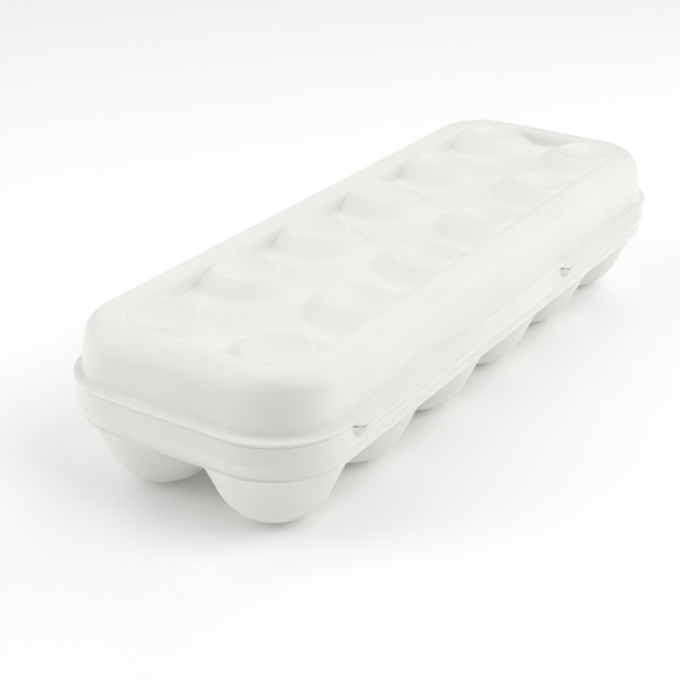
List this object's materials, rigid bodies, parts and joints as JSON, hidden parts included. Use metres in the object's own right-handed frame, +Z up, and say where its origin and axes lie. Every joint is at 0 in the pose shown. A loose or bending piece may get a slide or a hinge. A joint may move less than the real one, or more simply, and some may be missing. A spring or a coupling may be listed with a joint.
{
  "type": "egg storage box",
  "caption": "Hinged egg box: round-bottomed cups in two rows under a stepped rim, a sloping lid with a sunken panel and dished bosses, living hinges and a snap clasp.",
  "frame": {"origin": "centre of the box's outline, on the table under the cups' feet", "axes": "+X along the box, +Y from the hinges towards the clasp, +Z up"},
  "size_m": [0.3, 0.1148, 0.065],
  "materials": {
    "moulding": "satin moulded polypropylene, off-white",
    "hinge_film": "thin bending polypropylene film, whitened along the fold"
  },
  "bodies": {
    "base": {"base_rim": "moulding", "egg_cup_hinge_1": "moulding", "egg_cup_hinge_2": "moulding", "egg_cup_hinge_3": "moulding", "egg_cup_hinge_4": "moulding", "egg_cup_hinge_5": "moulding", "egg_cup_hinge_6": "moulding", "egg_cup_front_1": "moulding", "egg_cup_front_2": "moulding", "egg_cup_front_3": "moulding", "egg_cup_front_4": "moulding", "egg_cup_front_5": "moulding", "egg_cup_front_6": "moulding", "hinge_web_left": "hinge_film", "hinge_web_right": "hinge_film"},
    "lid": {"lid": "moulding", "clasp_web": "hinge_film"},
    "clasp": {"front_clasp": "moulding"}
  },
  "joints": [
    {"name": "lid_hinge", "type": "hinge", "parent": "base", "child": "lid", "pos_m": [0, -0.0574, 0.0416], "axis": [1, 0, 0], "range_deg": [0, 180], "deforming": ["hinge_web_left", "hinge_web_right"]},
    {"name": "clasp_flex", "type": "hinge", "parent": "lid", "child": "clasp", "pos_m": [0, 0.0555, 0.0444], "axis": [1, 0, 0], "range_deg": [0, 30], "deforming": ["clasp_web"]}
  ]
}
